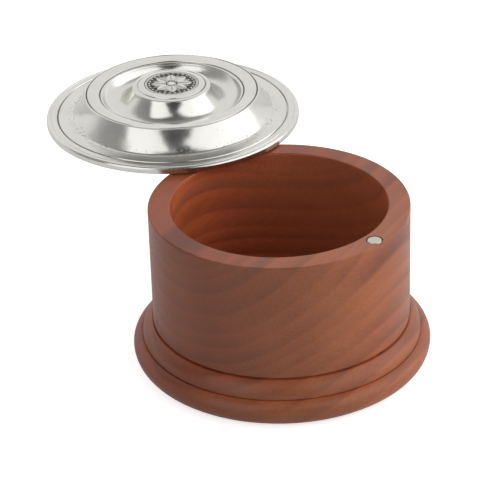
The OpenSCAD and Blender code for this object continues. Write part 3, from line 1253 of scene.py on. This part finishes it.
@dataclass
class Rosette:
    """The medallion's relief: a border, a ring of scallops, eight petals with sepals and a knop."""

    # Middle of the lid's underside, in metres
    centre: Vector
    # Radius of the medallion, and heights of its underside, its ground and its top over that
    radius: float = 12.0
    bottom: float = 15.1
    ground: float = 15.85
    top: float = 16.5
    petals: Leaf = Leaf(8, 0.0, 2.4, 9.3, 2.35, 0.95)
    sepals: Leaf = Leaf(8, 0.5, 4.6, 9.3, 0.987, 0.75)
    # Width of the border, its height, its sloping edge and the share of its height left outside
    border: float = 1.1
    border_high: float = 0.6
    border_slope: float = 0.25
    border_edge: float = 0.4
    # Radius and height of the knop, number and height of its lobes, and the radius where they
    # reach that height
    knop: float = 2.3
    knop_high: float = 0.95
    knop_lobes: int = 6
    lobe_high: float = 0.12
    lobe_at: float = 2.1
    # Number of scallops, their distance from the middle, half sizes round and out, and height
    scallops: int = 28
    scallop_at: float = 10.0
    scallop_size: tuple[float, float] = (0.85, 0.55)
    scallop_high: float = 0.8
    # Number and radius of the beads on the border
    beads: int = 56
    bead: float = 0.36
    # Height over the ground where the dark patina ends, and under the top where it is rubbed bright
    dark_over: float = 0.1
    bright_under: float = 0.08
    # Steps of the mesh from the middle out and round it
    steps_out: int = 72
    steps_round: int = 224

    def patina(self) -> AntiquePewter:
        """Gives the patina that goes with the heights of the relief."""
        dark_end = self.centre.z + (self.ground + self.dark_over) * MM
        return AntiquePewter(dark_end, self.centre.z + (self.top - self.bright_under) * MM)

    def knop_rise(self, r: float, angle: float) -> float:
        """Gives the height of the lobed knop in the middle.

        Args:
            r: Distance from the middle in millimetres.
            angle: Direction in radians.

        Returns:
            The height, from 0 to 1.
        """
        dome = math.sqrt(1 - (r / self.knop) ** 2)
        lobes = self.lobe_high * math.cos(self.knop_lobes * angle) * min(1.0, r / self.lobe_at)
        return min(1.0, dome * (self.knop_high + lobes))

    def scallop_rise(self, r: float, angle: float) -> float:
        """Gives the height of the scallops.

        Args:
            r: Distance from the middle in millimetres.
            angle: Direction in radians.

        Returns:
            The height, from 0 to 1.
        """
        turn = math.tau / self.scallops
        across = ((angle / turn + 0.5) % 1.0 - 0.5) * turn * r
        half_round, half_out = self.scallop_size
        away = math.hypot(across / half_round, (r - self.scallop_at) / half_out)
        return self.scallop_high * math.sqrt(max(0.0, 1 - away**2))

    def rise(self, r: float, angle: float) -> float:
        """Gives the height of the relief over its ground, from 0 to 1.

        Args:
            r: Distance from the middle in millimetres.
            angle: Direction in radians.

        Returns:
            The height.
        """
        past = (r - self.radius + self.border + self.border_slope) / self.border_slope
        if past > 0.0:
            left = (self.radius - r) / self.border_slope + self.border_edge
            return self.border_high * min(1.0, past) * min(1.0, left)
        if r < self.knop:
            return self.knop_rise(r, angle)
        leaves = max(leaf.rise(r, angle) for leaf in (self.petals, self.sepals))
        return max(leaves, self.scallop_rise(r, angle))

    def relief(self) -> bpy.types.Mesh:
        """Makes the closed disc with the relief on its upper face.

        Returns:
            Its mesh.
        """
        shape = bmesh.new()
        rows: list[list[bmesh.types.BMVert]] = []
        for i in range(1, self.steps_out + 1):
            r = self.radius * i / self.steps_out
            row = []
            for j in range(self.steps_round):
                angle = math.tau * j / self.steps_round
                z = self.ground + (self.top - self.ground) * self.rise(r, angle)
                flat = Vector((math.cos(angle) * r, math.sin(angle) * r, z))
                row.append(shape.verts.new(self.centre + flat * MM))
            rows.append(row)
        low_row = [shape.verts.new((v.co.x, v.co.y, self.centre.z + self.bottom * MM)) for v in rows[-1]]
        rows.append(low_row)
        poles = (
            shape.verts.new(self.centre + Vector((0, 0, self.top * MM))),
            shape.verts.new(self.centre + Vector((0, 0, self.bottom * MM))),
        )
        for j in range(self.steps_round):
            k = (j + 1) % self.steps_round
            for low, high in zip(rows, rows[1:]):
                shape.faces.new((low[j], high[j], high[k], low[k]))
            shape.faces.new((poles[0], rows[0][j], rows[0][k]))
            shape.faces.new((poles[1], low_row[k], low_row[j]))
        mesh = bpy.data.meshes.new("rosette")
        shape.to_mesh(mesh)
        shape.free()
        close_mesh(mesh, 50.0)
        return mesh

    def beading(self, material: bpy.types.Material) -> bpy.types.Mesh:
        """Strings the beads along the medallion's border.

        Args:
            material: Their finish.

        Returns:
            Their mesh.
        """
        values = {
            "Beads": self.beads,
            "Ring radius": (self.radius - self.border / 2) * MM,
            "Bead radius": self.bead * MM,
            "Centre": self.centre + Vector((0, 0, (self.top - self.bead) * MM)),
            "Material": material,
        }
        job = ShapeTree("beading", values)
        tree, given = job.tree, job.given
        ring = add_node(
            tree,
            "GeometryNodeCurvePrimitiveCircle",
            {"Resolution": given.outputs["Beads"], "Radius": given.outputs["Ring radius"]},
        ).outputs[0]
        bead = add_node(
            tree,
            "GeometryNodeMeshIcoSphere",
            {"Radius": given.outputs["Bead radius"], "Subdivisions": 2},
        ).outputs[0]
        strung = add_node(
            tree, "GeometryNodeInstanceOnPoints", {"Points": ring, "Instance": bead}
        ).outputs[0]
        seated = add_node(
            tree,
            "GeometryNodeTransform",
            {"Geometry": strung, "Translation": given.outputs["Centre"]},
        ).outputs[0]
        job.finish(seated)
        mesh = job.run(bpy.data.meshes.new("beading"))
        close_mesh(mesh, 60.0)
        return mesh


@dataclass
class LidMoulding:
    """The lid's turned section, in which each arc runs into the next from the flange to the boss."""

    # Flange
    radius: float = 56.2
    flange_t: float = 3.0
    flange_w: float = 11.2
    edge_round: float = 1.2
    under_round: float = 0.4
    # Distance from the edge, width and depth of the groove and of the hairline
    groove: tuple[float, float, float] = (5.0, 1.0, 0.4)
    hairline: tuple[float, float, float] = (2.0, 0.35, 0.15)
    # Cove and raised ring, with the distance of the ring's two lines from its edges
    cove_w: float = 6.0
    cove_bow: float = 26.0
    cove_foot: float = 2.0
    ring_z: float = 12.8
    ring_w: float = 8.1
    ring_crest: float = 2.5
    ring_crown: float = 16.0
    ring_round: float = 0.6
    lip_round: float = 1.0
    ring_line_in: float = 1.1
    # Width and depth of the lines on the ring and the boss
    line: tuple[float, float] = (0.7, 0.3)
    # Height of the dish's centre, and its radius
    dish_z: float = 13.0
    dish_round: float = 5.8
    # Boss, with the radius of its line and the seat of the medallion
    boss_r: float = 17.4
    boss_z: float = 17.2
    boss_crown: float = 80.0
    boss_round: float = 0.8
    boss_bow: float = 14.0
    boss_line: float = 15.1
    seat_r: float = 12.12
    seat_z: float = 15.1
    # Thickness of the casting over its hollow, and how far the hollow stays inside the cove
    shell_t: float = 2.2
    hollow_in: float = 0.8

    @property
    def cove_out(self) -> float:
        """Radius where the cove ends on the flange."""
        return self.radius - self.flange_w

    @property
    def ring_out(self) -> float:
        """Outer radius of the raised ring."""
        return self.cove_out - self.cove_w

    @property
    def ring_in(self) -> float:
        """Inner radius of the raised ring."""
        return self.ring_out - self.ring_w

    @property
    def ring_lines(self) -> tuple[float, float]:
        """Radii of the two lines on the raised ring."""
        return self.ring_in + self.ring_line_in, self.ring_out - self.ring_line_in

    @property
    def line_radii(self) -> tuple[float, ...]:
        """Radii of the engraved lines that hold a dark patina."""
        return (self.radius - self.groove[0], *self.ring_lines, self.boss_line)

    @cached_property
    def ring_c(self) -> Vector:
        """Centre of the raised ring's crown."""
        return Vector((self.ring_out - self.ring_crest, self.ring_z - self.ring_crown))

    @cached_property
    def edge_c(self) -> Vector:
        """Centre of the raised ring's outer edge."""
        return above(self.ring_c, self.ring_crown - self.ring_round, self.ring_out - self.ring_round)

    @cached_property
    def cove_c(self) -> Vector:
        """Centre of the cove's shallow bow."""
        cove_end = Vector((self.cove_out, self.flange_t))
        return meet(self.edge_c, self.cove_bow + self.ring_round, cove_end, self.cove_bow)

    @cached_property
    def foot_c(self) -> Vector:
        """Centre of the fillet between the cove and the flange."""
        return inward(self.cove_c, self.cove_bow - self.cove_foot, self.flange_t + self.cove_foot)

    @cached_property
    def dish_c(self) -> Vector:
        """Centre of the dish."""
        return Vector((self.ring_in - self.dish_round, self.dish_z))

    @cached_property
    def lip_c(self) -> Vector:
        """Centre of the lip over which the raised ring turns into the dish."""
        return meet(
            self.dish_c, self.dish_round + self.lip_round, self.ring_c, self.ring_crown - self.lip_round
        )

    @cached_property
    def boss_c(self) -> Vector:
        """Centre of the boss's crown."""
        return Vector((0.0, self.boss_z - self.boss_crown))

    @cached_property
    def boss_edge_c(self) -> Vector:
        """Centre of the boss's edge."""
        return above(self.boss_c, self.boss_crown - self.boss_round, self.boss_r - self.boss_round)

    @cached_property
    def bow_c(self) -> Vector:
        """Centre of the boss's bowed side."""
        return meet(
            self.boss_edge_c, self.boss_bow + self.boss_round, self.dish_c, self.boss_bow - self.dish_round
        )

    def draw_boss(self, section: Section) -> None:
        """Goes from the medallion's seat over the boss's crown and down its bowed side.

        Args:
            section: Section to go on with.
        """
        crown_end = toward(self.boss_c, self.boss_edge_c, self.boss_crown)
        bow_top = toward(self.boss_edge_c, self.bow_c, self.boss_round)
        section.line(Vector((0.0, self.seat_z)), Vector((self.seat_r, self.seat_z)))
        section.surface(
            lambda r: above(self.boss_c, self.boss_crown, r).y,
            self.seat_r,
            crown_end.x,
            ((self.boss_line, *self.line),),
        )
        section.arc(self.boss_edge_c, crown_end, self.bow_c, -1)
        section.arc(self.bow_c, bow_top, toward(self.bow_c, self.dish_c, self.boss_bow), 1, 2.0)

    def draw_dish(self, section: Section) -> None:
        """Goes through the dish, over the lip and across the raised ring with its two lines.

        Args:
            section: Section to go on with.
        """
        lip_low = toward(self.dish_c, self.lip_c, self.dish_round)
        lip_top = toward(self.ring_c, self.lip_c, self.ring_crown)
        section.arc(self.dish_c, toward(self.bow_c, self.dish_c, self.boss_bow), lip_low, 1)
        section.arc(self.lip_c, lip_low, lip_top, -1)
        section.surface(
            lambda r: above(self.ring_c, self.ring_crown, r).y,
            lip_top.x,
            toward(self.ring_c, self.edge_c, self.ring_crown).x,
            tuple((r, *self.line) for r in self.ring_lines),
        )

    def draw_cove(self, section: Section) -> None:
        """Goes over the raised ring's edge and down the cove into its fillet.

        Args:
            section: Section to go on with.
        """
        foot_top = toward(self.cove_c, self.foot_c, self.cove_bow)
        section.arc(self.edge_c, toward(self.ring_c, self.edge_c, self.ring_crown), self.cove_c, -1)
        section.arc(self.cove_c, toward(self.edge_c, self.cove_c, self.ring_round), foot_top, 1, 1.0)
        section.arc(self.foot_c, foot_top, self.foot_c + Vector((0, -1)), 1)

    def draw_flange(self, section: Section) -> None:
        """Goes out over the flange with its groove and hairline, and round its edge.

        Args:
            section: Section to go on with.
        """
        grooves = tuple((self.radius - inset, w, d) for inset, w, d in (self.groove, self.hairline))
        corner = Vector((self.radius - self.edge_round, self.flange_t - self.edge_round))
        under = Vector((self.radius - self.under_round, self.under_round))
        section.surface(lambda r: self.flange_t, self.foot_c.x, corner.x, grooves)
        section.arc(corner, corner + Vector((0, self.edge_round)), corner + Vector((1, 0)), -1)
        section.arc(under, under + Vector((self.under_round, 0)), under + Vector((0, -1)), -1)

    def draw_hollow(self, section: Section) -> None:
        """Goes back underneath, where a hollow keeps the casting at one thickness.

        Args:
            section: Section to go on with.
        """
        shell = self.shell_t
        cove_in = self.cove_bow + shell
        crown_in = self.ring_crown - shell
        dish_in = self.dish_round + shell
        bow_in = self.boss_bow + shell
        hollow_r = self.cove_out - self.hollow_in
        ceiling_z = self.seat_z - shell
        ring_low = meet(self.ring_c, crown_in, self.cove_c, cove_in)
        ring_end = meet(self.dish_c, dish_in, self.ring_c, crown_in)
        dish_end = toward(self.bow_c, self.dish_c, bow_in)
        boss_in = inward(self.bow_c, bow_in, ceiling_z)
        section.line(Vector((hollow_r, 0.0)))
        section.arc(self.cove_c, below(self.cove_c, cove_in, hollow_r), ring_low, -1, 8.0)
        section.arc(self.ring_c, ring_low, ring_end, 1, 8.0)
        section.arc(self.dish_c, ring_end, dish_end, -1, 8.0)
        section.arc(self.bow_c, dish_end, boss_in, -1, 8.0)
        section.line(Vector((0.0, ceiling_z)))

    def section(self) -> Section:
        """Draws the section, from the medallion's seat over the top and back underneath.

        Returns:
            The section.
        """
        section = Section()
        for draw in (self.draw_boss, self.draw_dish, self.draw_cove, self.draw_flange, self.draw_hollow):
            draw(section)
        return section


@dataclass
class PewterLid:
    """The cast lid with its medallion, pivot pin and keeper."""

    nodes: dict[str, bpy.types.Object]
    moulding: LidMoulding = field(default_factory=LidMoulding)
    # Radius and depth of the seats of the pin and the keeper in the underside
    pin_seat: tuple[float, float] = (2.02, 1.6)
    keeper_seat: tuple[float, float] = (3.25, 1.2)

    def seat_cutter(self, name: str, node: str, size: tuple[float, float]) -> bpy.types.Object:
        """Makes the round piece that cuts the seat of a pin or disc into the underside.

        Args:
            name: Name of the cutter.
            node: Piece that sits in the seat.
            size: Radius and depth of the seat.

        Returns:
            The cutter.
        """
        low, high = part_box(node)
        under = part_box("lid")[0].z
        radius, depth = size
        shape = bmesh.new()
        bmesh.ops.create_cone(
            shape,
            cap_ends=True,
            segments=64,
            radius1=radius * MM,
            radius2=radius * MM,
            depth=2 * depth * MM,
            matrix=Matrix.Translation(((low.x + high.x) / 2, (low.y + high.y) / 2, under)),
        )
        mesh = bpy.data.meshes.new(name)
        shape.to_mesh(mesh)
        shape.free()
        return new_piece(name, mesh)

    def cast_lid(self, centre: Vector) -> None:
        """Casts the lid again in a fine mesh.

        Args:
            centre: Middle of its underside, in metres.
        """
        pewter = CastPewter(centre, self.moulding.line_radii).build()
        cutters = (
            self.seat_cutter("pin_seat", "pivot_pin", self.pin_seat),
            self.seat_cutter("keeper_seat", "lid_keeper", self.keeper_seat),
        )
        mesh = self.moulding.section().turned("lid_lathe", pewter, centre, cutters=cutters)
        casting = new_piece("lid_casting", mesh)
        dress(casting, pewter)
        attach(casting, "lid")
        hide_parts("lid")

    def set_medallion(self, centre: Vector) -> None:
        """Casts the medallion's relief again in a fine mesh, and beads its border.

        Args:
            centre: Middle of the lid's underside, in metres.
        """
        rosette = Rosette(centre)
        antique = rosette.patina().build()
        relief = new_piece("medallion_relief", rosette.relief())
        dress(relief, antique)
        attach(relief, "lid")
        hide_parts("lid_medallion")
        beads = new_piece("medallion_beading", rosette.beading(antique))
        dress(beads, antique)
        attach(beads, "lid")

    def build(self) -> None:
        """Builds the lid and its medallion, and dresses the pin and the keeper."""
        low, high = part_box("lid")
        centre = Vector(((low.x + high.x) / 2, (low.y + high.y) / 2, low.z))
        self.cast_lid(centre)
        self.set_medallion(centre)
        steel = Metal.STEEL.value.build()
        for name in ("pivot_pin", "lid_keeper"):
            dress(self.nodes[name], steel)


@dataclass(frozen=True)
class SoftBox:
    """A soft box, placed by its bearing from the camera's side and its height over the table."""

    name: str
    # Bearing and lift in degrees, then distance, width and height in metres
    bearing_deg: float
    lift_deg: float
    distance: float
    width: float
    height: float
    watts: float


@dataclass
class Studio:
    """Plain floor, soft boxes and the camera at the photograph's viewing angle."""

    # Where the camera stands, seen from the origin
    camera_bearing_deg: float = 221.2
    camera_distance: float = 0.9851
    camera_lift_deg: float = 31.803
    # Where it looks, and its focal length in millimetres
    heading_deg: float = -47.666
    pitch_deg: float = 29.081
    roll_deg: float = -1.9165
    lens: float = 171.9
    # Brightness of the room from behind the camera over the zenith to the backdrop, how far
    # that way dips to the table, and the cosines between which it runs
    room_tones: tuple[tuple[float, float], ...] = (
        (0.0, 0.05),
        (0.18, 0.08),
        (0.43, 0.3),
        (0.7, 0.4),
        (0.95, 0.95),
    )
    room_dip: float = 0.35
    room_span: tuple[float, float] = (-1.0, 0.4)
    # Size of the floor, and how far under the foot it lies
    floor_size: float = 6.0
    floor_drop: float = 0.0002
    paper: str = "#e8e8e8"
    # Light that the camera sees added to the paper, to bring it to white
    floor_glow: float = 0.68
    # Share of the floor's own white that metal shows
    floor_shine: float = 0.25
    boxes: tuple[SoftBox, ...] = (
        SoftBox("left_box", -39, 31, 1.6, 1.2, 1.85, 8.8),
        SoftBox("right_box", 73, 31, 1.6, 2.9, 1.85, 21.5),
    )

    def spot(self, bearing_deg: float, lift_deg: float, distance: float) -> Vector:
        """Gives a place round the object.

        Args:
            bearing_deg: Angle from the camera's side, counter-clockwise seen from above.
            lift_deg: Angle over the table.
            distance: Distance from the origin in metres.

        Returns:
            The place in the row's frame.
        """
        turn = math.radians(self.camera_bearing_deg + bearing_deg)
        lift = math.radians(lift_deg)
        flat = math.cos(lift)
        return Vector((math.cos(turn) * flat, math.sin(turn) * flat, math.sin(lift))) * distance

    def add_camera(self) -> None:
        """Sets up the camera."""
        data = bpy.data.cameras.new("camera")
        data.lens = self.lens
        data.sensor_width = 36
        data.clip_start = 0.05
        camera = bpy.data.objects.new("camera", data)
        turn = (
            Matrix.Rotation(math.radians(self.heading_deg), 4, "Z")
            @ Matrix.Rotation(math.radians(90 - self.pitch_deg), 4, "X")
            @ Matrix.Rotation(math.radians(self.roll_deg), 4, "Z")
        )
        place = self.spot(0, self.camera_lift_deg, self.camera_distance)
        camera.matrix_world = Matrix.Translation(place) @ turn
        bpy.context.scene.collection.objects.link(camera)
        bpy.context.scene.camera = camera

    def add_lights(self) -> None:
        """Hangs the soft boxes, each turned to the object."""
        for box in self.boxes:
            data = bpy.data.lights.new(box.name, "AREA")
            data.shape = "RECTANGLE"
            data.size = box.width
            data.size_y = box.height
            data.energy = box.watts
            light = bpy.data.objects.new(box.name, data)
            light.location = self.spot(box.bearing_deg, box.lift_deg, box.distance)
            light.rotation_euler = light.location.to_track_quat("Z", "Y").to_euler()
            bpy.context.scene.collection.objects.link(light)

    def add_world(self) -> None:
        """Makes the room: white to the camera, and pale with a darker side behind the camera."""
        world = bpy.data.worlds.new("room")
        world.use_nodes = True
        tree = world.node_tree
        tree.nodes.clear()
        aim = self.spot(180, 0, 1) - Vector((0, 0, self.room_dip))
        view = add_node(tree, "ShaderNodeTexCoord").outputs["Generated"]
        side = add_node(
            tree, "ShaderNodeVectorMath", {0: view, 1: aim}, operation="DOT_PRODUCT"
        ).outputs["Value"]
        behind, backdrop = self.room_span
        turned = add_node(
            tree, "ShaderNodeMapRange", {"Value": side, 1: behind, 2: backdrop, 3: 0.0, 4: 1.0}
        ).outputs[0]
        shade = add_node(
            tree, "ShaderNodeValToRGB", {"Fac": turned}, stops=list(self.room_tones)
        ).outputs["Color"]
        room = add_node(
            tree, "ShaderNodeBackground", {"Color": srgb("#ffffff"), "Strength": shade}
        ).outputs[0]
        white = add_node(
            tree, "ShaderNodeBackground", {"Color": srgb("#ffffff"), "Strength": 1.0}
        ).outputs[0]
        path = add_node(tree, "ShaderNodeLightPath")
        mix = add_node(
            tree,
            "ShaderNodeMixShader",
            {0: path.outputs["Is Camera Ray"], 1: room, 2: white},
        ).outputs[0]
        add_node(tree, "ShaderNodeOutputWorld", {0: mix})
        bpy.context.scene.world = world

    def add_floor(self) -> None:
        """Lays a plain white floor that keeps the object's shadow."""
        half = self.floor_size / 2
        mesh = bpy.data.meshes.new("floor")
        square = [(-half, -half), (half, -half), (half, half), (-half, half)]
        mesh.from_pydata([(x, y, -self.floor_drop) for x, y in square], [], [(0, 1, 2, 3)])
        floor = bpy.data.objects.new("floor", mesh)
        bpy.context.scene.collection.objects.link(floor)
        material, tree = new_material("white_floor")
        paper = add_node(tree, "ShaderNodeBsdfDiffuse", {"Color": srgb(self.paper)}).outputs[0]
        glow = add_node(
            tree, "ShaderNodeEmission", {"Color": srgb("#ffffff"), "Strength": self.floor_glow}
        ).outputs[0]
        both = add_node(tree, "ShaderNodeAddShader", {0: paper, 1: glow}).outputs[0]
        path = add_node(tree, "ShaderNodeLightPath")
        seen = add_node(
            tree,
            "ShaderNodeMath",
            {0: path.outputs["Is Glossy Ray"], 1: self.floor_shine, 2: path.outputs["Is Camera Ray"]},
            operation="MULTIPLY_ADD",
        ).outputs[0]
        mix = add_node(tree, "ShaderNodeMixShader", {0: seen, 1: paper, 2: both}).outputs[0]
        add_node(tree, "ShaderNodeOutputMaterial", {"Surface": mix})
        floor.data.materials.append(material)

    def build(self) -> None:
        """Sets up the whole studio."""
        self.add_camera()
        self.add_lights()
        self.add_world()
        self.add_floor()
        bpy.context.scene.view_settings.view_transform = "Standard"


def main() -> None:
    """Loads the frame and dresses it."""
    logging.basicConfig(level=logging.INFO, format="%(message)s")
    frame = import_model()
    nodes = frame["nodes"]
    for part in (WoodenBox(nodes), PewterLid(nodes), Studio()):
        part.build()


if __name__ == "__main__":
    main()
